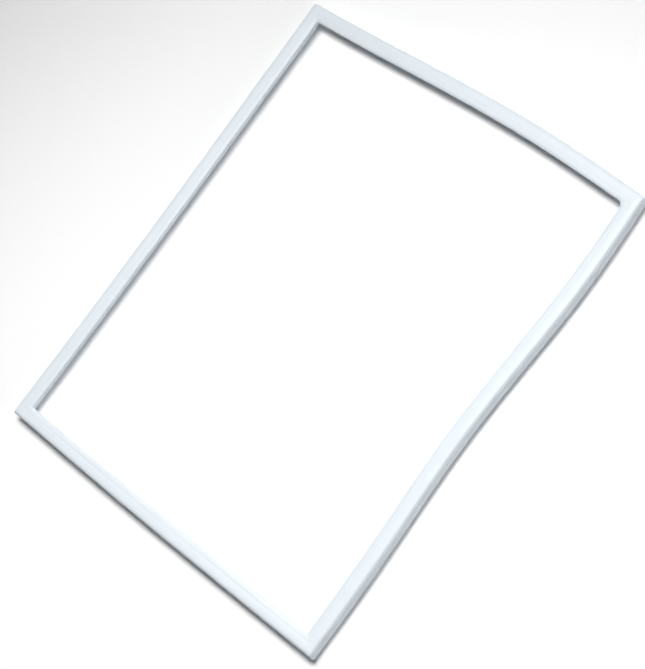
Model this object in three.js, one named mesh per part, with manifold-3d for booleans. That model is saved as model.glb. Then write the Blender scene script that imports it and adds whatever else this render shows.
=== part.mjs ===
// Door seal of a household refrigerator or freezer: a ring of soft PVC extrusion, mitred and welded at its four
// corners, with a flexible magnet strip in the pocket of each side. Millimetres, +Z up.
// The seal lies on its dart, the rib that pushes into the door, with its sealing face up.
import * as THREE from 'three';
import { mergeVertices } from 'three/addons/utils/BufferGeometryUtils.js';
import Module from 'manifold-3d';

// Outline seen from above, measured at the middle of the dart
const WIDTH = 575;
const LENGTH = 695;

// How each side lies out of straight, outward positive. bow holds the heights of one, two and three half waves
// along the side, top and bottom from left to right, left and right from top to bottom.
// lean is how far the face lies outward of the base in the middle stretch of the side.
const SIDES = {
  right: { bow: [-2.5, 2.5, 3.2], lean: -1 },
  top: { bow: [9.4, -2.2, 0], lean: -1.5 },
  left: { bow: [-1.7, 0.4, 0.3], lean: -1.5 },
  bottom: { bow: [2.2, 0.3, 0], lean: 0 },
};

// Corners: the radius at the outer edge of the base, and at the far wall of the balloon
const OUTER_RADIUS = 2.5;
const INNER_RADIUS = { topRight: 8, topLeft: 2.5, bottomLeft: 1, bottomRight: 1.5 };
const CORNER_STEPS = 4;
const STATION_STEP = 75;

// Magnet strip and the pocket that holds it
const MAGNET_WIDTH = 7.5;
const MAGNET_THICKNESS = 2.7;
const MAGNET_CLEARANCE = 0.3;
const MAGNET_CHAMFER = 0.4;
const MAGNET_END_GAP = 14;
const POCKET_WALL = 0.8;
const POCKET_COVER = 1.1;
const POCKET_OUTER_WALL = 1.6;

// Section, heights
const DART_LENGTH = 9;
const BASE_THICKNESS = 1.1;
const BODY_HEIGHT = 14;

// Section, across: outward of the dart's middle is positive
const BASE_OUT = 10.5;
const BASE_IN = -10.4;
const BAND_IN = -2.1;

// Rounded outer edge of the flat band: where its slope starts, its corner and its end, from the pocket's outer wall
// and the face
const BAND_SLOPE_WIDTH = 3.6;
const BAND_CORNER_WIDTH = 1.3;
const BAND_CORNER_DROP = 0.7;
const BAND_EDGE_DROP = 2;

// Shallow valley between the flat band and the balloon
const VALLEY_WIDTH = 3.3;
const VALLEY_DEPTH = 0.4;

// Balloon: the soft tube on the inner side. Its reaches are from the band's inner edge, its drops from the face.
const BALLOON_WALL = 0.7;
const CREST_REACH = 5.2;
const CREST_DROP = 0.35;
const SLOPE_REACH = 7.9;
const SLOPE_DROP = 0.75;
const SHOULDER_REACH = 10.8;
const SHOULDER_DROP = 1.9;
const SKIRT_REACH = 10.5;
const SKIRT_DROP = 9.5;
const WING_LENGTH = 0.6;

// Bellows below the pocket: its outer wall, and the rib between its two creases
const BELLOWS_WALL = 0.7;
const WALL_REACH = 0.9;
const WALL_DROP = 1.5;
const CREASE_REACH = 0.1;
const CREASE_DROP = 0.4;
const RIB_REACH = 0.9;
const RIB_RISE = 0.4;
const UPPER_CREASE_DEPTH = 0.3;
const UPPER_CREASE_RISE = 1.5;

// Dart: stem, barbs and tip
const STEM_WIDTH = 2.2;
const BARB_REACH = 4;
const BARB_HEIGHT = 6.9;
const BARB_THICKNESS = 0.7;
const BARB_UNDERCUT = 0.6;
const BARB_DEPTH = 3.4;
const TIP_WIDTH = 1.4;
const TIP_CHAMFER = 1.2;

// Vents drilled up through the base, beside each end of the long sides: one into the bellows and the pocket, and
// one into the balloon
const VENT_DIAMETER = 2.5;
const VENT_FROM_CORNER = 8;
const VENT_SIDES = 12;

// Edge radii
const BAND_OUTER_RADIUS = 1.5;
const BAND_INNER_RADIUS = 0.6;
const BASE_EDGE_RADIUS = 0.4;
const VALLEY_RADIUS = 0.6;
const CREST_RADIUS = 1.2;
const SHOULDER_RADIUS = 1.5;
const SKIRT_RADIUS = 2;

// Levels and offsets that follow from the sizes above
const halfWidth = WIDTH / 2;
const halfLength = LENGTH / 2;
const baseTop = DART_LENGTH + BASE_THICKNESS;
const face = DART_LENGTH + BODY_HEIGHT;
const pocketIn = BAND_IN + POCKET_WALL;
const pocketOut = pocketIn + MAGNET_WIDTH + 2 * MAGNET_CLEARANCE;
const bandOut = pocketOut + POCKET_OUTER_WALL;
const pocketTop = face - POCKET_COVER;
const pocketBottom = pocketTop - MAGNET_THICKNESS - 2 * MAGNET_CLEARANCE;
const pocketUnderside = pocketBottom - POCKET_WALL;
const innermost = BAND_IN - SHOULDER_REACH;
const wallMaterial = new THREE.MeshStandardMaterial({ color: 0xebf2f8, roughness: 0.45, metalness: 0 });
const magnetMaterial = new THREE.MeshStandardMaterial({ color: 0x2e2a28, roughness: 0.8, metalness: 0 });

// A closed loop of section points from corners [across, height, radius]
function roundedLoop(corners, divisions = 2) {
  const points = corners.map(([u, v]) => new THREE.Vector2(u, v));
  const path = new THREE.Path();
  points.forEach((corner, i) => {
    const before = points.at(i - 1);
    const after = points[(i + 1) % points.length];
    const radius = corners[i][2] ?? 0;
    const reach = Math.min(radius, corner.distanceTo(before) / 3, corner.distanceTo(after) / 3);
    const start = corner.clone().lerp(before, reach / corner.distanceTo(before));
    const end = corner.clone().lerp(after, reach / corner.distanceTo(after));
    if (i === 0) path.moveTo(start.x, start.y);
    else path.lineTo(start.x, start.y);
    if (reach > 0) path.quadraticCurveTo(corner.x, corner.y, end.x, end.y);
  });
  return path.getPoints(divisions);
}

// An open line moved sideways to its left by a distance, its joints kept sharp
function offsetLine(points, distance) {
  const normal = (from, to) => {
    const along = to.clone().sub(from).normalize();
    return new THREE.Vector2(-along.y, along.x);
  };
  return points.map((point, i) => {
    const first = i > 0 ? normal(points[i - 1], point) : normal(point, points[i + 1]);
    const second = i < points.length - 1 ? normal(point, points[i + 1]) : first;
    const middle = first.clone().add(second).normalize();
    return point.clone().addScaledVector(middle, distance / middle.dot(first));
  });
}

// Outer skin of the bellows, from the base up to the upper crease
const outerSkin = [
  [BASE_OUT, baseTop],
  [bandOut + WALL_REACH, pocketUnderside - WALL_DROP],
  [bandOut + CREASE_REACH, pocketUnderside - CREASE_DROP],
  [bandOut + RIB_REACH, pocketBottom + RIB_RISE],
  [bandOut - UPPER_CREASE_DEPTH, pocketBottom + UPPER_CREASE_RISE],
].map(([u, v]) => new THREE.Vector2(u, v));

// Outer skin of the balloon, from the bottom of the valley over its crest and down to the base
const balloonSkin = [
  [BAND_IN - VALLEY_WIDTH, face - VALLEY_DEPTH],
  [BAND_IN - CREST_REACH, face - CREST_DROP],
  [BAND_IN - SLOPE_REACH, face - SLOPE_DROP],
  [innermost, face - SHOULDER_DROP],
  [BAND_IN - SKIRT_REACH, face - SKIRT_DROP],
  [BASE_IN + WING_LENGTH, baseTop],
].map(([u, v]) => new THREE.Vector2(u, v));

// One side of the dart from the base down to the tip; hand is -1 for the inner side and 1 for the outer side
function dartOutline(hand) {
  const stem = hand * STEM_WIDTH / 2;
  const barb = hand * BARB_REACH;
  const tip = hand * TIP_WIDTH / 2;
  return [
    [stem, DART_LENGTH],
    [stem, BARB_HEIGHT - BARB_UNDERCUT],
    [barb, BARB_HEIGHT],
    [barb, BARB_HEIGHT - BARB_THICKNESS],
    [stem, BARB_HEIGHT - BARB_DEPTH],
    [stem, TIP_CHAMFER],
    [tip, 0],
  ];
}

// Point of the line through two points at an offset across, and at a height
const across = (from, to, u) => from.clone().lerp(to, (u - from.x) / (to.x - from.x));
const level = (from, to, v) => from.clone().lerp(to, (v - from.y) / (to.y - from.y));

// The section's outer loop and its three hollows, anticlockwise with outward to the right
function section() {
  const [outerFoot, wallTop, crease, rib, upperCrease] = outerSkin;
  const [valley, crest, slope, shoulder, skirt, innerFoot] = balloonSkin;
  const outline = roundedLoop([
    [BASE_OUT, DART_LENGTH, BASE_EDGE_RADIUS],
    [outerFoot.x, outerFoot.y, BASE_EDGE_RADIUS],
    [wallTop.x, wallTop.y],
    [crease.x, crease.y],
    [rib.x, rib.y],
    [upperCrease.x, upperCrease.y],
    [bandOut, face - BAND_EDGE_DROP, BAND_OUTER_RADIUS],
    [bandOut - BAND_CORNER_WIDTH, face - BAND_CORNER_DROP, BAND_OUTER_RADIUS],
    [bandOut - BAND_SLOPE_WIDTH, face, BAND_OUTER_RADIUS],
    [BAND_IN, face, BAND_INNER_RADIUS],
    [valley.x, valley.y, VALLEY_RADIUS],
    [crest.x, crest.y, CREST_RADIUS],
    [slope.x, slope.y],
    [shoulder.x, shoulder.y, SHOULDER_RADIUS],
    [skirt.x, skirt.y, SKIRT_RADIUS],
    [innerFoot.x, innerFoot.y],
    [BASE_IN, baseTop, BASE_EDGE_RADIUS],
    [BASE_IN, DART_LENGTH],
    ...dartOutline(-1),
    ...dartOutline(1).reverse(),
  ]);
  const pocket = roundedLoop([
    [pocketOut, pocketBottom],
    [pocketOut, pocketTop],
    [pocketIn, pocketTop],
    [pocketIn, pocketBottom],
  ]);
  const wallInside = offsetLine([outerFoot, wallTop, crease], BELLOWS_WALL);
  const bellows = roundedLoop([
    level(wallInside[0], wallInside[1], baseTop),
    wallInside[1],
    level(wallInside[1], wallInside[2], crease.y),
    new THREE.Vector2(pocketOut, pocketUnderside),
    new THREE.Vector2(BAND_IN, pocketUnderside),
    new THREE.Vector2(BAND_IN, pocketTop),
    new THREE.Vector2(valley.x + BELLOWS_WALL / 2, valley.y - BELLOWS_WALL),
    new THREE.Vector2(valley.x + BELLOWS_WALL / 2, baseTop),
  ].map((point) => point.toArray()));
  const balloonInside = offsetLine(balloonSkin, BALLOON_WALL);
  const balloon = roundedLoop([
    new THREE.Vector2(valley.x - BELLOWS_WALL / 2, baseTop),
    across(balloonInside[0], balloonInside[1], valley.x - BELLOWS_WALL / 2),
    ...balloonInside.slice(1, 5),
    level(balloonInside[4], balloonInside[5], baseTop),
  ].map((point) => point.toArray()));
  return { outline, hollows: [pocket, bellows, balloon] };
}

// The four sides in order round the seal, anticlockwise from above. A side's outward direction is its number of
// quarter turns from +X, distance is from the middle to its dart, and half is half its run between corners.
const RING = [
  { name: 'right', distance: halfWidth, half: halfLength, nextCorner: 'topRight' },
  { name: 'top', distance: halfLength, half: halfWidth, nextCorner: 'topLeft' },
  { name: 'left', distance: halfWidth, half: halfLength, nextCorner: 'bottomLeft' },
  { name: 'bottom', distance: halfLength, half: halfWidth, nextCorner: 'bottomRight' },
];

function turned(quarters, x, y) {
  const angle = quarters * Math.PI / 2;
  return new THREE.Vector2(x, y).rotateAround(new THREE.Vector2(), angle);
}

// Corner radius of the section point at an offset, between the balloon's and the base's radius
function cornerRadius(corner, offset) {
  const share = (offset - innermost) / (BASE_OUT - innermost);
  return THREE.MathUtils.lerp(INNER_RADIUS[corner], OUTER_RADIUS, share);
}

// Straight stations of one side between two distances from its middle, each a function from offset to [x, y]
function sideStations(index, from, to) {
  const { distance } = RING[index];
  const steps = Math.max(1, Math.round((to - from) / STATION_STEP));
  return Array.from({ length: steps + 1 }, (_, i) => {
    const along = THREE.MathUtils.lerp(from, to, i / steps);
    return (offset) => turned(index, distance + offset, along);
  });
}

function cornerStations(index) {
  const side = RING[index];
  return Array.from({ length: CORNER_STEPS + 1 }, (_, i) => {
    const angle = (i / CORNER_STEPS) * Math.PI / 2;
    return (offset) => {
      const radius = cornerRadius(side.nextCorner, offset);
      const across = side.distance + offset - radius + radius * Math.cos(angle);
      const along = side.half + offset - radius + radius * Math.sin(angle);
      return turned(index, across, along);
    };
  });
}

function ringStations() {
  return RING.flatMap((side, index) => {
    const before = RING.at(index - 1).nextCorner;
    const start = INNER_RADIUS[before] - innermost;
    const end = INNER_RADIUS[side.nextCorner] - innermost;
    const margin = (BASE_OUT - innermost) / 4;
    return [
      ...sideStations(index, start + margin - side.half, side.half - end - margin),
      ...cornerStations(index),
    ];
  });
}

// How far a side has moved outward at a share of its run and a height
function drift({ bow, lean }, share, height) {
  const wave = bow.reduce((sum, amplitude, i) => sum + amplitude * Math.sin((i + 1) * Math.PI * share), 0);
  const plateau = Math.max(0, 1 - (2 * share - 1) ** 6);
  const rise = THREE.MathUtils.clamp((height - baseTop) / (face - baseTop), 0, 1);
  return wave + lean * plateau * rise;
}

// A point of the straight-sided seal, moved to where the bowed seal has it
function lay({ x, y }, height) {
  const rightness = (x / halfWidth + 1) / 2;
  const topness = (y / halfLength + 1) / 2;
  const moved = (side, share) => drift(SIDES[side], share, height);
  const dx = rightness * moved('right', 1 - topness) - (1 - rightness) * moved('left', 1 - topness);
  const dy = topness * moved('top', rightness) - (1 - topness) * moved('bottom', rightness);
  return [x + dx, y + dy, height];
}

// Sweeps a loop of section points through stations. A closed ring joins its last station to its first; an open
// strip gets flat ends, for which its section has to be convex. inward turns the faces round for a hollow.
function sweep(loop, stations, { closed = true, inward = false } = {}) {
  const positions = stations.flatMap((station) => loop.flatMap((point) => lay(station(point.x), point.y)));
  const count = loop.length;
  const index = [];
  const triangle = (a, b, c) => index.push(...(inward ? [a, c, b] : [a, b, c]));
  const spans = closed ? stations.length : stations.length - 1;
  for (let j = 0; j < spans; j += 1) {
    const here = j * count;
    const next = ((j + 1) % stations.length) * count;
    for (let i = 0; i < count; i += 1) {
      const k = (i + 1) % count;
      triangle(here + i, next + i, next + k);
      triangle(here + i, next + k, here + k);
    }
  }
  if (!closed) {
    const last = (stations.length - 1) * count;
    for (let i = 1; i < count - 1; i += 1) {
      triangle(0, i, i + 1);
      triangle(last, last + i + 1, last + i);
    }
  }
  return { positions, index };
}

function joined(parts) {
  const positions = parts.flatMap((part) => part.positions);
  let start = 0;
  const index = parts.flatMap((part) => {
    const moved = part.index.map((i) => i + start);
    start += part.positions.length / 3;
    return moved;
  });
  return { positions, index };
}

function geometry({ positions, index }) {
  const result = new THREE.BufferGeometry();
  result.setAttribute('position', new THREE.Float32BufferAttribute(positions, 3));
  result.setIndex(index);
  result.computeVertexNormals();
  return result;
}

const wasm = await Module();
wasm.setup();

function toSolid(source) {
  const bare = source.clone();
  bare.deleteAttribute('normal');
  bare.deleteAttribute('uv');
  const merged = mergeVertices(bare, 1e-5);
  return new wasm.Manifold(new wasm.Mesh({
    numProp: 3,
    vertProperties: new Float32Array(merged.attributes.position.array),
    triVerts: new Uint32Array(merged.index.array),
  }));
}

function fromSolid(solid) {
  const { vertProperties, triVerts } = solid.getMesh();
  return geometry({ positions: Array.from(vertProperties), index: Array.from(triVerts) });
}

// A vent's drill at an offset across, from below the base up to a height
function ventDrill(handX, handY, offset, top) {
  const bottom = DART_LENGTH - BASE_THICKNESS;
  const along = halfLength - VENT_FROM_CORNER;
  const [x, y] = lay({ x: handX * (halfWidth + offset), y: handY * along }, bottom);
  const drill = new THREE.CylinderGeometry(VENT_DIAMETER / 2, VENT_DIAMETER / 2, top - bottom, VENT_SIDES);
  drill.rotateX(Math.PI / 2);
  drill.translate(x, y, (top + bottom) / 2);
  return drill;
}

function makeFrame() {
  const stations = ringStations();
  const { outline, hollows } = section();
  const ring = joined([
    sweep(outline, stations),
    ...hollows.map((hollow) => sweep(hollow, stations, { inward: true })),
  ]);
  let solid = toSolid(geometry(ring));
  const intoPocket = [(BARB_REACH + pocketOut) / 2, (pocketBottom + pocketTop) / 2];
  const intoBalloon = [(BASE_IN - BARB_REACH) / 2, baseTop + BASE_THICKNESS];
  for (const handX of [-1, 1]) {
    for (const handY of [-1, 1]) {
      for (const [offset, top] of [intoPocket, intoBalloon]) {
        solid = solid.subtract(toSolid(ventDrill(handX, handY, offset, top)));
      }
    }
  }
  const mesh = new THREE.Mesh(fromSolid(solid), wallMaterial);
  mesh.name = 'gasket_frame';
  return mesh;
}

function makeMagnet(index) {
  const side = RING[index];
  const low = pocketBottom + MAGNET_CLEARANCE;
  const high = low + MAGNET_THICKNESS;
  const inner = pocketIn + MAGNET_CLEARANCE;
  const outer = inner + MAGNET_WIDTH;
  const loop = roundedLoop([
    [outer, low, MAGNET_CHAMFER],
    [outer, high, MAGNET_CHAMFER],
    [inner, high, MAGNET_CHAMFER],
    [inner, low, MAGNET_CHAMFER],
  ], 1);
  const reach = side.half - MAGNET_END_GAP;
  const strip = sweep(loop, sideStations(index, -reach, reach), { closed: false });
  const mesh = new THREE.Mesh(geometry(strip), magnetMaterial);
  mesh.name = `magnet_strip_${side.name}`;
  return mesh;
}

// The part's origin is at the middle of its box, on the surface that the seal lies on
const seal = new THREE.Group();
seal.add(makeFrame());
RING.forEach((side, index) => seal.add(makeMagnet(index)));
const box = new THREE.Box3().setFromObject(seal);
const middle = box.getCenter(new THREE.Vector3());
seal.position.set(-middle.x, -middle.y, -box.min.z);

export default seal;
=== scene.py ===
import itertools
import math
from collections import namedtuple

import bpy
import numpy as np
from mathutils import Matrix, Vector


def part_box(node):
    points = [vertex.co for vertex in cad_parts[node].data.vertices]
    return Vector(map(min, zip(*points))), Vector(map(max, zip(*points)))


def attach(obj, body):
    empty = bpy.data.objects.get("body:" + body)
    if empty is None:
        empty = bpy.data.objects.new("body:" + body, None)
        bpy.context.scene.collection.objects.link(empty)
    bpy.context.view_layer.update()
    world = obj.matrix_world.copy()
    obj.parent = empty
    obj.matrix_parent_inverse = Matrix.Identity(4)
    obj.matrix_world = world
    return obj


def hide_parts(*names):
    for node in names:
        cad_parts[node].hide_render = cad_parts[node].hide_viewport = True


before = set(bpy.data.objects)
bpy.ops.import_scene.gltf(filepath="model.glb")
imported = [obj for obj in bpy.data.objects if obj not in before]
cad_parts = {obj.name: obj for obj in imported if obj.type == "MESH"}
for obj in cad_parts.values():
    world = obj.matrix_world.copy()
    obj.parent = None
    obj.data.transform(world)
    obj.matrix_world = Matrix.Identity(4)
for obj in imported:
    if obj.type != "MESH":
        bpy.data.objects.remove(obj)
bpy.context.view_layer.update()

# Looks of a refrigerator door seal: a ring of soft white PVC extrusion, mitred and welded at its four
# corners. The section and its path are in millimetres, as in the part's source. MM turns them into metres.
MM = 0.001

# Outline seen from above, measured at the middle of the dart, and how each side lies out of straight
WIDTH = 575
LENGTH = 695
SIDES = {
    "right": {"bow": (-2.5, 2.5, 3.2), "lean": -1},
    "top": {"bow": (9.4, -2.2, 0), "lean": -1.5},
    "left": {"bow": (-1.7, 0.4, 0.3), "lean": -1.5},
    "bottom": {"bow": (2.2, 0.3, 0), "lean": 0},
}

# Corners: the radius at the outer edge of the base, and at the far wall of the balloon
OUTER_RADIUS = 2.5
INNER_RADIUS = {"topRight": 8, "topLeft": 2.5, "bottomLeft": 1, "bottomRight": 1.5}

# Section: the pocket for the magnet, then the heights, then the offsets across, outward positive
MAGNET_WIDTH = 7.5
MAGNET_THICKNESS = 2.7
MAGNET_CLEARANCE = 0.3
POCKET_WALL = 0.8
POCKET_COVER = 1.1
POCKET_OUTER_WALL = 1.6
DART_LENGTH = 9
BASE_THICKNESS = 1.1
BODY_HEIGHT = 14
BASE_OUT = 10.5
BASE_IN = -10.4
BAND_IN = -2.1

# Section: the band's rounded outer edge, measured from the pocket's outer wall and the face
BAND_SLOPE_WIDTH = 3.6
BAND_CORNER_WIDTH = 1.3
BAND_CORNER_DROP = 0.7
BAND_EDGE_DROP = 2

# Section: shallow valley beside the band, then the balloon, the soft tube on the inner side. The balloon's
# reaches are from the band's inner edge and its drops from the face.
VALLEY_WIDTH = 3.3
VALLEY_DEPTH = 0.4
BALLOON_WALL = 0.7
CREST_REACH = 5.2
CREST_DROP = 0.35
SLOPE_REACH = 7.9
SLOPE_DROP = 0.75
SHOULDER_REACH = 10.8
SHOULDER_DROP = 1.9
SKIRT_REACH = 10.5
SKIRT_DROP = 9.5
WING_LENGTH = 0.6

# Section: bellows below the pocket with a rib between its two creases, then the dart
BELLOWS_WALL = 0.7
WALL_REACH = 0.9
WALL_DROP = 1.5
CREASE_REACH = 0.1
CREASE_DROP = 0.4
RIB_REACH = 0.9
RIB_RISE = 0.4
UPPER_CREASE_DEPTH = 0.3
UPPER_CREASE_RISE = 1.5
STEM_WIDTH = 2.2
BARB_REACH = 4
BARB_HEIGHT = 6.9
BARB_THICKNESS = 0.7
BARB_UNDERCUT = 0.6
BARB_DEPTH = 3.4
TIP_WIDTH = 1.4
TIP_CHAMFER = 1.2

# Vents drilled up through the base beside each end of the long sides, into the bellows and into the balloon
VENT_DIAMETER = 2.5
VENT_FROM_CORNER = 8
VENT_SIDES = 32

# Edge radii; the smallest is on every edge of the extrusion that has no larger one
BAND_OUTER_RADIUS = 1.5
BAND_INNER_RADIUS = 0.6
BASE_EDGE_RADIUS = 0.4
VALLEY_RADIUS = 0.6
CREST_RADIUS = 1.2
SLOPE_RADIUS = 0.8
SHOULDER_RADIUS = 1.5
SKIRT_RADIUS = 2
CREASE_RADIUS = 0.35
STEM_RADIUS = 0.5
SMALL_RADIUS = 0.2
BALLOON_INSIDE_RADII = (0.6, 0.4, 0.9, 1.4)

# Fineness of the mesh. LONGEST_REACH is the share of an edge that one rounded corner may take, and
# RUN_IN_SHARE the share of the section's width that each straight run ends short of its corner.
ROUND_DIVISIONS = 4
LONGEST_REACH = 0.45
LONGEST_SPAN = 1.6
STATION_STEP = 10
RUN_IN_SHARE = 0.25
RUN_IN_STEPS = 4
CORNER_STEPS = 14
FACE_TOLERANCE = 0.01

# What the soft extrusion does over its length: how suddenly a side's lean starts at its ends, the crown of
# its band, the ripple of its balloon as cycles round the ring, height and phase, and the bead that the weld
# leaves on each mitre, with its width in stations
LEAN_POWER = 6
BAND_CROWN = 0.12
BALLOON_RIPPLES = ((11, 0.22, 0.4), (17, 0.14, 2.1), (31, 0.07, 4.4))
WELD_BEAD = 0.12
WELD_BEAD_AT_BALLOON = 0.3
WELD_WIDTH = 1.1

# Levels and offsets that follow from the sizes above
half_width = WIDTH / 2
half_length = LENGTH / 2
base_top = DART_LENGTH + BASE_THICKNESS
face = DART_LENGTH + BODY_HEIGHT
pocket_in = BAND_IN + POCKET_WALL
pocket_out = pocket_in + MAGNET_WIDTH + 2 * MAGNET_CLEARANCE
band_out = pocket_out + POCKET_OUTER_WALL
pocket_top = face - POCKET_COVER
pocket_bottom = pocket_top - MAGNET_THICKNESS - 2 * MAGNET_CLEARANCE
pocket_underside = pocket_bottom - POCKET_WALL
innermost = BAND_IN - SHOULDER_REACH


def rounded_loop(corners):
    """Closed loop of section points from corners (across, height, radius), with every corner rounded."""
    points = [np.array(corner[:2], float) for corner in corners]
    loop = []
    for i, corner in enumerate(points):
        radius = corners[i][2] if len(corners[i]) > 2 else SMALL_RADIUS
        before = points[i - 1] - corner
        after = points[(i + 1) % len(points)] - corner
        before_length = np.linalg.norm(before)
        after_length = np.linalg.norm(after)
        reach = min(radius, LONGEST_REACH * before_length, LONGEST_REACH * after_length)
        start = corner + before * reach / before_length
        end = corner + after * reach / after_length
        for t in np.linspace(0, 1, ROUND_DIVISIONS + 1):
            loop.append((1 - t) ** 2 * start + 2 * t * (1 - t) * corner + t ** 2 * end)
    return np.array(loop)


def with_short_spans(loop):
    """The loop with every span longer than LONGEST_SPAN cut into equal shorter ones."""
    points = []
    for start, end in zip(loop, np.roll(loop, -1, axis=0)):
        cuts = math.ceil(np.linalg.norm(end - start) / LONGEST_SPAN)
        points.extend(start + (end - start) * i / cuts for i in range(cuts))
    return np.array(points)


def offset_line(points, distance):
    """An open line moved sideways to its left by a distance, its joints kept sharp."""
    points = np.array(points, float)
    along = np.diff(points, axis=0)
    along /= np.linalg.norm(along, axis=1)[:, None]
    normals = np.column_stack((-along[:, 1], along[:, 0]))
    first = np.vstack((normals[:1], normals))
    second = np.vstack((normals, normals[-1:]))
    middle = first + second
    middle /= np.linalg.norm(middle, axis=1)[:, None]
    return points + middle * distance / (middle * first).sum(1)[:, None]


# Outer skin of the bellows, from the base up to the upper crease, with its radii
outer_skin = (
    (BASE_OUT, base_top, BASE_EDGE_RADIUS),
    (band_out + WALL_REACH, pocket_underside - WALL_DROP, CREASE_RADIUS),
    (band_out + CREASE_REACH, pocket_underside - CREASE_DROP, CREASE_RADIUS),
    (band_out + RIB_REACH, pocket_bottom + RIB_RISE, CREASE_RADIUS),
    (band_out - UPPER_CREASE_DEPTH, pocket_bottom + UPPER_CREASE_RISE, CREASE_RADIUS),
)

# Outer skin of the balloon, from the bottom of the valley over its crest and down to the base, with its radii
balloon_skin = (
    (BAND_IN - VALLEY_WIDTH, face - VALLEY_DEPTH, VALLEY_RADIUS),
    (BAND_IN - CREST_REACH, face - CREST_DROP, CREST_RADIUS),
    (BAND_IN - SLOPE_REACH, face - SLOPE_DROP, SLOPE_RADIUS),
    (innermost, face - SHOULDER_DROP, SHOULDER_RADIUS),
    (BAND_IN - SKIRT_REACH, face - SKIRT_DROP, SKIRT_RADIUS),
    (BASE_IN + WING_LENGTH, base_top),
)


def dart_corners(hand):
    """One side of the dart from the base down to the tip; hand is -1 for the inner side, 1 for the outer."""
    stem = hand * STEM_WIDTH / 2
    barb = hand * BARB_REACH
    return [
        (stem, DART_LENGTH, STEM_RADIUS),
        (stem, BARB_HEIGHT - BARB_UNDERCUT),
        (barb, BARB_HEIGHT),
        (barb, BARB_HEIGHT - BARB_THICKNESS),
        (stem, BARB_HEIGHT - BARB_DEPTH),
        (stem, TIP_CHAMFER),
        (hand * TIP_WIDTH / 2, 0),
    ]


def section_outline():
    """Outer loop of the section, anticlockwise with outward to the right."""
    loop = with_short_spans(rounded_loop([
        (BASE_OUT, DART_LENGTH, BASE_EDGE_RADIUS),
        *outer_skin,
        (band_out, face - BAND_EDGE_DROP, BAND_OUTER_RADIUS),
        (band_out - BAND_CORNER_WIDTH, face - BAND_CORNER_DROP, BAND_OUTER_RADIUS),
        (band_out - BAND_SLOPE_WIDTH, face, BAND_OUTER_RADIUS),
        (BAND_IN, face, BAND_INNER_RADIUS),
        *balloon_skin,
        (BASE_IN, base_top, BASE_EDGE_RADIUS),
        (BASE_IN, DART_LENGTH),
        *dart_corners(-1),
        *reversed(dart_corners(1)),
    ]))
    band_share = (loop[:, 0] - BAND_IN) / (band_out - BAND_SLOPE_WIDTH - BAND_IN)
    on_band = (loop[:, 1] > face - FACE_TOLERANCE) & (band_share > 0)
    loop[on_band, 1] += BAND_CROWN * (1 - (2 * band_share[on_band] - 1) ** 2)
    return loop


def section_hollows():
    """The pocket, the bellows' hollow and the balloon's. Each loop runs the same way round as the outline."""
    def across(start, end, offset):
        return start + (end - start) * (offset - start[0]) / (end[0] - start[0])

    def level(start, end, height):
        return start + (end - start) * (height - start[1]) / (end[1] - start[1])

    pocket = rounded_loop([
        (pocket_out, pocket_bottom),
        (pocket_out, pocket_top),
        (pocket_in, pocket_top),
        (pocket_in, pocket_bottom),
    ])
    wall_inside = offset_line([point[:2] for point in outer_skin[:3]], BELLOWS_WALL)
    valley = BAND_IN - VALLEY_WIDTH
    partition_outer = valley + BELLOWS_WALL / 2
    partition_inner = valley - BELLOWS_WALL / 2
    bellows = rounded_loop([
        level(wall_inside[0], wall_inside[1], base_top),
        wall_inside[1],
        level(wall_inside[1], wall_inside[2], pocket_underside - CREASE_DROP),
        (pocket_out, pocket_underside),
        (BAND_IN, pocket_underside),
        (BAND_IN, pocket_top),
        (partition_outer, face - VALLEY_DEPTH - BELLOWS_WALL),
        (partition_outer, base_top),
    ])
    inside = offset_line([point[:2] for point in balloon_skin], BALLOON_WALL)
    balloon = rounded_loop([
        (partition_inner, base_top),
        across(inside[0], inside[1], partition_inner),
        *((*point, radius) for point, radius in zip(inside[1:5], BALLOON_INSIDE_RADII)),
        level(inside[4], inside[5], base_top),
    ])
    return [pocket, bellows, balloon]


# The right, top, left and bottom side, in order round the seal, anticlockwise from above: distance from the
# middle to the dart, half the run between corners, and the corner at its end. A side's outward direction is
# its number of quarter turns from +X.
Side = namedtuple("Side", "distance half corner")
RING = (
    Side(half_width, half_length, "topRight"),
    Side(half_length, half_width, "topLeft"),
    Side(half_width, half_length, "bottomLeft"),
    Side(half_length, half_width, "bottomRight"),
)


def turned(quarters, across, along):
    for _ in range(quarters):
        across, along = -along, across
    return np.column_stack((across, along))


def side_place(index, along, offsets):
    return turned(index, RING[index].distance + offsets, np.full(len(offsets), along))


def corner_place(index, angle, offsets):
    """Where a station at an angle round the corner after a side puts the section points at the offsets."""
    distance, half, corner = RING[index]
    share = (offsets - innermost) / (BASE_OUT - innermost)
    radius = INNER_RADIUS[corner] + (OUTER_RADIUS - INNER_RADIUS[corner]) * share
    across = distance + offsets - radius * (1 - math.cos(angle))
    along = half + offsets - radius * (1 - math.sin(angle))
    return turned(index, across, along)


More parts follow.
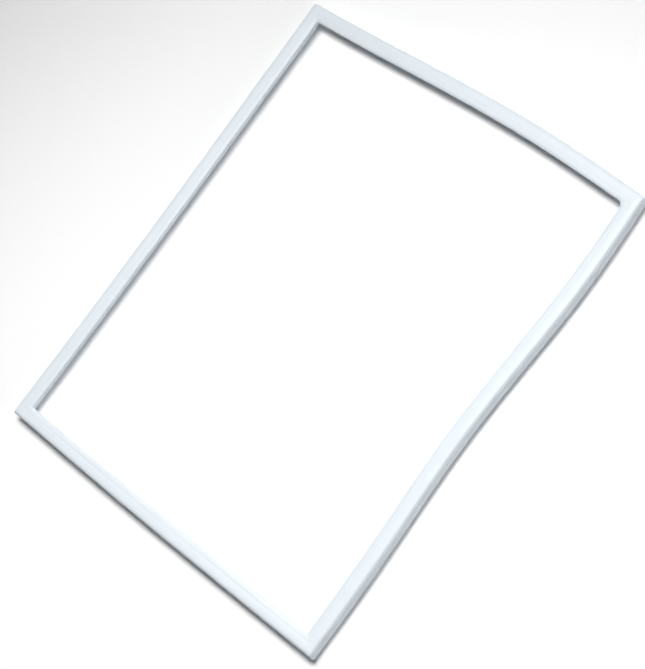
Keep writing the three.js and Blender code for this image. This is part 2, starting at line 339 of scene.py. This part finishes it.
def ring_stations(offsets):
    """Places (x, y) of the offsets at each station round the ring, and how near it is to a weld, 0 to 1."""
    places = []
    weld = []
    margin = (BASE_OUT - innermost) * RUN_IN_SHARE
    shares = [i / RUN_IN_STEPS for i in range(1, RUN_IN_STEPS)]
    for index, side in enumerate(RING):
        following = (index + 1) % len(RING)
        start = INNER_RADIUS[RING[index - 1].corner] - innermost + margin - side.half
        end = side.half - INNER_RADIUS[side.corner] + innermost - margin
        steps = round((end - start) / STATION_STEP)
        straight = [side_place(index, along, offsets) for along in np.linspace(start, end, steps + 1)]
        angles = np.linspace(0, math.pi / 2, CORNER_STEPS + 1)
        curved = [corner_place(index, angle, offsets) for angle in angles]
        next_start = INNER_RADIUS[side.corner] - innermost + margin - RING[following].half
        after = side_place(following, next_start, offsets)
        run_in = [straight[-1] + (curved[0] - straight[-1]) * share for share in shares]
        run_out = [curved[-1] + (after - curved[-1]) * share for share in shares]
        places += straight + run_in + curved + run_out
        nearness = [math.exp(-((i - CORNER_STEPS / 2) / WELD_WIDTH) ** 2) for i in range(CORNER_STEPS + 1)]
        weld += [0.0] * (len(straight) + len(run_in)) + nearness + [0.0] * len(run_out)
    return np.array(places), np.array(weld)


def drift(side, share, height):
    """How far a side has moved outward at a share of its run and a height."""
    wave = sum(amplitude * np.sin((i + 1) * math.pi * share) for i, amplitude in enumerate(side["bow"]))
    plateau = np.maximum(0, 1 - (2 * share - 1) ** LEAN_POWER)
    rise = np.clip((height - base_top) / (face - base_top), 0, 1)
    return wave + side["lean"] * plateau * rise


def lay(places, heights):
    """Points of the straight-sided seal, moved to where the bowed seal has them."""
    x = places[..., 0]
    y = places[..., 1]
    rightness = (x / half_width + 1) / 2
    topness = (y / half_length + 1) / 2
    dx = rightness * drift(SIDES["right"], 1 - topness, heights)
    dx -= (1 - rightness) * drift(SIDES["left"], 1 - topness, heights)
    dy = topness * drift(SIDES["top"], rightness, heights)
    dy -= (1 - topness) * drift(SIDES["bottom"], rightness, heights)
    return np.stack((x + dx, y + dy, heights), axis=-1)


def distance_round():
    """Distance of each station along the dart's middle, then the ring's whole length."""
    places, _ = ring_stations(np.zeros(1))
    spans = np.linalg.norm(np.roll(places[:, 0], -1, axis=0) - places[:, 0], axis=1)
    return np.concatenate(([0], np.cumsum(spans)))


def outward_normals(loop):
    along = np.roll(loop, -1, axis=0) - np.roll(loop, 1, axis=0)
    along /= np.linalg.norm(along, axis=1)[:, None]
    return np.column_stack((along[:, 1], -along[:, 0]))


def loop_surface(loop, outermost):
    """Points (station, loop point, xyz) of a loop swept round the ring, with the balloon's ripple. The
    outermost loop also has the beads of the welds."""
    stations = distance_round()
    count = len(stations) - 1
    turns = stations[:-1] / stations[-1] * 2 * math.pi
    places, weld = ring_stations(loop[:, 0])
    heights = np.tile(loop[:, 1], (count, 1))
    share = np.clip((BAND_IN - VALLEY_WIDTH - loop[:, 0]) / (SHOULDER_REACH - VALLEY_WIDTH), 0, 1)
    share *= np.clip((loop[:, 1] - base_top) / (face - base_top), 0, 1)
    ripple = sum(size * np.sin(cycles * turns + phase) for cycles, size, phase in BALLOON_RIPPLES)
    heights += np.outer(ripple, share)
    if outermost:
        bead = WELD_BEAD + (WELD_BEAD_AT_BALLOON - WELD_BEAD) * share
        raised = loop + outward_normals(loop) * bead[:, None]
        raised_places, _ = ring_stations(raised[:, 0])
        places += (raised_places - places) * weld[:, None, None]
        heights += np.outer(weld, raised[:, 1] - loop[:, 1])
    return lay(places, heights)


def ring_mesh(name, loops):
    """One mesh from section loops swept round the ring; loops after the first are hollows, facing inward.
    Its UV map holds metres: the distance round the ring and the distance round the section."""
    stations = distance_round() * MM
    count = len(stations) - 1
    points = []
    faces = []
    uvs = []
    for number, loop in enumerate(loops):
        start = len(points)
        surface = loop_surface(loop, outermost=number == 0)
        points.extend(map(tuple, (surface * MM).reshape(-1, 3)))
        size = len(loop)
        spans = np.linalg.norm(np.roll(loop, -1, axis=0) - loop, axis=1)
        around = np.concatenate(([0], np.cumsum(spans))) * MM
        for j in range(count):
            here = start + j * size
            following = start + (j + 1) % count * size
            for i in range(size):
                k = (i + 1) % size
                corners = [here + i, following + i, following + k, here + k]
                places = [(stations[j], around[i]), (stations[j + 1], around[i]),
                          (stations[j + 1], around[i + 1]), (stations[j], around[i + 1])]
                if number > 0:
                    corners.reverse()
                    places.reverse()
                faces.append(corners)
                uvs.extend(places)
    mesh = bpy.data.meshes.new(name)
    mesh.from_pydata(points, [], faces)
    mesh.uv_layers.new(name="extrusion").data.foreach_set("uv", np.array(uvs).ravel())
    return mesh


def centre_on(mesh, node):
    """Moves a mesh so that its box has the same middle and the same bottom as the node's."""
    low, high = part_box(node)
    target = Vector((*((low + high) / 2)[:2], low.z))
    places = np.array([vertex.co for vertex in mesh.vertices])
    mesh_low = places.min(0)
    mesh_middle = (mesh_low + places.max(0)) / 2
    shift = target - Vector((*mesh_middle[:2], mesh_low[2]))
    for vertex in mesh.vertices:
        vertex.co += shift
    return shift


def vent_cutter(shift):
    """Eight drills from below the base, by the dart: four half way up the pocket, four into the balloon."""
    bottom = DART_LENGTH - BASE_THICKNESS
    into_pocket = ((BARB_REACH + pocket_out) / 2, (pocket_bottom + pocket_top) / 2)
    into_balloon = ((BASE_IN - BARB_REACH) / 2, base_top + BASE_THICKNESS)
    along = half_length - VENT_FROM_CORNER
    turn = np.arange(VENT_SIDES) / VENT_SIDES * 2 * math.pi
    circle = np.column_stack((np.cos(turn), np.sin(turn))) * VENT_DIAMETER / 2
    points = []
    faces = []
    for hand_x, hand_y, (offset, top) in itertools.product((-1, 1), (-1, 1), (into_pocket, into_balloon)):
        x, y, _ = lay(np.array([hand_x * (half_width + offset), hand_y * along]), np.array(bottom))
        start = len(points)
        for height in (bottom, top):
            points.extend(Vector((x + u, y + v, height)) * MM + shift for u, v in circle)
        for i in range(VENT_SIDES):
            k = (i + 1) % VENT_SIDES
            faces.append((start + i, start + k, start + VENT_SIDES + k, start + VENT_SIDES + i))
        faces.append([start + i for i in reversed(range(VENT_SIDES))])
        faces.append([start + VENT_SIDES + i for i in range(VENT_SIDES)])
    mesh = bpy.data.meshes.new("vent_cutter")
    mesh.from_pydata(points, [], faces)
    return mesh


def add_object(name, mesh):
    piece = bpy.data.objects.new(name, mesh)
    bpy.context.scene.collection.objects.link(piece)
    return piece


def cut(piece, cutter_mesh):
    """Takes the cutter out of the piece's mesh and deletes the cutter."""
    cutter = add_object(cutter_mesh.name, cutter_mesh)
    boolean = piece.modifiers.new("cut", "BOOLEAN")
    boolean.object = cutter
    boolean.operation = "DIFFERENCE"
    boolean.solver = "EXACT"
    depsgraph = bpy.context.evaluated_depsgraph_get()
    result = bpy.data.meshes.new_from_object(piece.evaluated_get(depsgraph))
    piece.modifiers.clear()
    piece.data = result
    bpy.data.objects.remove(cutter)


# Materials. A noise is given by its stretch, scale and detail.
PVC_COLOUR = (0.838, 0.907, 0.97, 1)
PVC_SHADE = (0.812, 0.886, 0.957, 1)
FERRITE_COLOUR = (0.055, 0.046, 0.04, 1)
FERRITE_DUST = (0.12, 0.105, 0.09, 1)
PVC_ROUGHNESS = (0.38, 0.5)
FERRITE_ROUGHNESS = (0.66, 0.85)
STREAKS = ((4, 900, 1), 1, 3)
DIE_LINES = ((12, 4500, 1), 1, 2)
CLOUDS = ((1, 1, 1), 16, 4)
PVC_GRAIN = ((1, 1, 1), 1800, 2)
DUST = ((1, 1, 1), 320, 5)
FERRITE_GRAIN = ((1, 1, 1), 2600, 2)
DIE_LINE_HEIGHT = 0.00002
PVC_GRAIN_HEIGHT = 0.00001
FERRITE_GRAIN_HEIGHT = 0.00004
SUBSURFACE_WEIGHT = 0.3
SUBSURFACE_SCALE = 0.0015
SHARP_ANGLE = math.radians(50)


class Nodes:
    """Short calls to build the node tree of a material or a world."""

    def __init__(self, owner):
        owner.use_nodes = True
        self.tree = owner.node_tree
        self.tree.nodes.clear()

    def add(self, kind, **values):
        node = self.tree.nodes.new(kind)
        for name, value in values.items():
            setattr(node, name, value)
        return node

    def link(self, output, target):
        self.tree.links.new(output, target)

    def noise(self, vector, stretch, scale, detail):
        """Noise from 0 to 1 on a vector that is stretched first."""
        mapping = self.add("ShaderNodeMapping")
        mapping.inputs["Scale"].default_value = stretch
        self.link(vector, mapping.inputs["Vector"])
        noise = self.add("ShaderNodeTexNoise")
        noise.inputs["Scale"].default_value = scale
        noise.inputs["Detail"].default_value = detail
        self.link(mapping.outputs["Vector"], noise.inputs["Vector"])
        return noise.outputs["Fac"]

    def ranged(self, value, low, high, to_low, to_high):
        node = self.add("ShaderNodeMapRange")
        for name, number in zip(("From Min", "From Max", "To Min", "To Max"), (low, high, to_low, to_high)):
            node.inputs[name].default_value = number
        self.link(value, node.inputs["Value"])
        return node.outputs["Result"]

    def blended(self, share, first, second):
        """Colour between two colours."""
        node = self.add("ShaderNodeMix", data_type="RGBA")
        colours = [socket for socket in node.inputs if socket.type == "RGBA"]
        colours[0].default_value = first
        colours[1].default_value = second
        self.link(share, node.inputs["Factor"])
        return next(socket for socket in node.outputs if socket.type == "RGBA")

    def bump(self, height, distance, below=None):
        node = self.add("ShaderNodeBump")
        node.inputs["Distance"].default_value = distance
        self.link(height, node.inputs["Height"])
        if below is not None:
            self.link(below, node.inputs["Normal"])
        return node.outputs["Normal"]

    def principled(self, colour, roughness, normal):
        shader = self.add("ShaderNodeBsdfPrincipled")
        self.link(colour, shader.inputs["Base Color"])
        self.link(roughness, shader.inputs["Roughness"])
        self.link(normal, shader.inputs["Normal"])
        output = self.add("ShaderNodeOutputMaterial")
        self.link(shader.outputs["BSDF"], output.inputs["Surface"])
        return shader


def soft_pvc():
    """White plasticised PVC with the long fine lines that the extrusion die leaves."""
    material = bpy.data.materials.new("soft_pvc")
    nodes = Nodes(material)
    along = nodes.add("ShaderNodeUVMap", uv_map="extrusion").outputs["UV"]
    place = nodes.add("ShaderNodeTexCoord").outputs["Object"]
    streaks = nodes.noise(along, *STREAKS)
    die_lines = nodes.noise(along, *DIE_LINES)
    clouds = nodes.noise(place, *CLOUDS)
    grain = nodes.noise(place, *PVC_GRAIN)
    tone = nodes.add("ShaderNodeMath", operation="MULTIPLY")
    nodes.link(streaks, tone.inputs[0])
    nodes.link(clouds, tone.inputs[1])
    colour = nodes.blended(nodes.ranged(tone.outputs[0], 0.12, 0.42, 0, 1), PVC_SHADE, PVC_COLOUR)
    roughness = nodes.ranged(streaks, 0.3, 0.7, *PVC_ROUGHNESS)
    lined = nodes.bump(die_lines, DIE_LINE_HEIGHT)
    grained = nodes.bump(grain, PVC_GRAIN_HEIGHT, lined)
    shader = nodes.principled(colour, roughness, grained)
    shader.inputs["Subsurface Weight"].default_value = SUBSURFACE_WEIGHT
    shader.inputs["Subsurface Scale"].default_value = SUBSURFACE_SCALE
    shader.inputs["Subsurface Radius"].default_value = (1, 1, 1)
    return material


def magnet_rubber():
    """Dark flexible ferrite strip: matt, with pale dust and a fine grain."""
    material = bpy.data.materials.new("magnet_rubber")
    nodes = Nodes(material)
    place = nodes.add("ShaderNodeTexCoord").outputs["Object"]
    dust = nodes.noise(place, *DUST)
    grain = nodes.noise(place, *FERRITE_GRAIN)
    colour = nodes.blended(nodes.ranged(dust, 0.45, 0.8, 0, 1), FERRITE_COLOUR, FERRITE_DUST)
    roughness = nodes.ranged(dust, 0.3, 0.7, *FERRITE_ROUGHNESS)
    nodes.principled(colour, roughness, nodes.bump(grain, FERRITE_GRAIN_HEIGHT))
    return material


def make_gasket():
    mesh = ring_mesh("soft_gasket", [section_outline(), *section_hollows()])
    shift = centre_on(mesh, "gasket_frame")
    piece = add_object("soft_gasket", mesh)
    cut(piece, vent_cutter(shift))
    piece.data.materials.clear()
    piece.data.materials.append(soft_pvc())
    piece.data.shade_smooth()
    piece.data.set_sharp_from_angle(angle=SHARP_ANGLE)
    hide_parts("gasket_frame")
    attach(piece, "root")


def dress_magnets():
    material = magnet_rubber()
    for name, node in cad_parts.items():
        if name.startswith("magnet_strip_"):
            for slot in node.material_slots:
                slot.material = material


# Floor, lights and camera. Lengths from here on are metres.
FLOOR_SIZE = 16
FLOOR_COLOUR = 0.8
FLOOR_COLOUR_SEEN = 1.12
WORLD_LEVEL = 0.03

# Key: a row of round lamps above the part, each at a tilt off vertical towards +X and towards +Y. Their beams
# centre on a point beside the part, so their light falls off softly over it.
KEY_TILTS = ((-12, 16.5), (0, 16.5), (12, 16.5))
KEY_DISTANCE = 3.1
KEY_RADIUS = 0.77
KEY_POWER = 154
KEY_AIM = Vector((0.5, -0.75, 0))
KEY_CONE = math.radians(84)
FILL_TILT = (75, 10)
FILL_STRENGTH = 0.4
FILL_ANGLE = math.radians(20)

CAMERA_PLACE = (1.37636, -0.09706, 2.26780)
CAMERA_TURN = (20.654, 23.537, 40.181)
SENSOR = 36
LENS = 107.06
NEAREST_SEEN = 0.05


def seen_or_not(nodes):
    """1 for rays that show the background to the camera, directly or in gloss, 0 for the rays that light."""
    path = nodes.add("ShaderNodeLightPath")
    total = path.outputs["Is Camera Ray"]
    for name in ("Is Glossy Ray", "Is Transmission Ray"):
        node = nodes.add("ShaderNodeMath", operation="MAXIMUM")
        nodes.link(total, node.inputs[0])
        nodes.link(path.outputs[name], node.inputs[1])
        total = node.outputs[0]
    return total


def make_floor():
    half = FLOOR_SIZE / 2
    mesh = bpy.data.meshes.new("floor")
    corners = [(-half, -half, 0), (half, -half, 0), (half, half, 0), (-half, half, 0)]
    mesh.from_pydata(corners, [], [(0, 1, 2, 3)])
    floor = add_object("floor", mesh)
    material = bpy.data.materials.new("white_floor")
    nodes = Nodes(material)
    lighting = (FLOOR_COLOUR, FLOOR_COLOUR, FLOOR_COLOUR, 1)
    seen = (FLOOR_COLOUR_SEEN, FLOOR_COLOUR_SEEN, FLOOR_COLOUR_SEEN, 1)
    shader = nodes.add("ShaderNodeBsdfDiffuse")
    nodes.link(nodes.blended(seen_or_not(nodes), lighting, seen), shader.inputs["Color"])
    output = nodes.add("ShaderNodeOutputMaterial")
    nodes.link(shader.outputs["BSDF"], output.inputs["Surface"])
    mesh.materials.append(material)


def make_world():
    world = bpy.data.worlds.new("white_room")
    bpy.context.scene.world = world
    nodes = Nodes(world)
    background = nodes.add("ShaderNodeBackground")
    strength = nodes.ranged(seen_or_not(nodes), 0, 1, WORLD_LEVEL, 1)
    nodes.link(strength, background.inputs["Strength"])
    output = nodes.add("ShaderNodeOutputWorld")
    nodes.link(background.outputs["Background"], output.inputs["Surface"])


def lamp_direction(tilt_x, tilt_y):
    """Unit vector from the part towards a lamp that is tilted off vertical towards +X and +Y, in degrees."""
    return Vector((math.tan(math.radians(tilt_x)), math.tan(math.radians(tilt_y)), 1)).normalized()


def add_lamp(name, kind, place, aim, **values):
    lamp = bpy.data.lights.new(name, kind)
    for key, value in values.items():
        setattr(lamp, key, value)
    light = bpy.data.objects.new(name, lamp)
    light.location = place
    light.rotation_mode = "QUATERNION"
    light.rotation_quaternion = (aim - place).to_track_quat("-Z", "Y")
    bpy.context.scene.collection.objects.link(light)


def make_lights():
    for number, tilt in enumerate(KEY_TILTS):
        add_lamp(f"key_{number}", "SPOT", lamp_direction(*tilt) * KEY_DISTANCE, KEY_AIM, energy=KEY_POWER,
                 shadow_soft_size=KEY_RADIUS, spot_size=KEY_CONE, spot_blend=1)
    add_lamp("fill", "SUN", lamp_direction(*FILL_TILT) * KEY_DISTANCE, Vector(), energy=FILL_STRENGTH,
             angle=FILL_ANGLE)


def make_camera():
    data = bpy.data.cameras.new("camera")
    data.sensor_width = SENSOR
    data.lens = LENS
    data.clip_start = NEAREST_SEEN
    camera = bpy.data.objects.new("camera", data)
    camera.location = CAMERA_PLACE
    camera.rotation_euler = [math.radians(angle) for angle in CAMERA_TURN]
    bpy.context.scene.collection.objects.link(camera)
    bpy.context.scene.camera = camera


make_gasket()
dress_magnets()
make_floor()
make_world()
make_lights()
make_camera()
bpy.context.scene.view_settings.view_transform = "Standard"
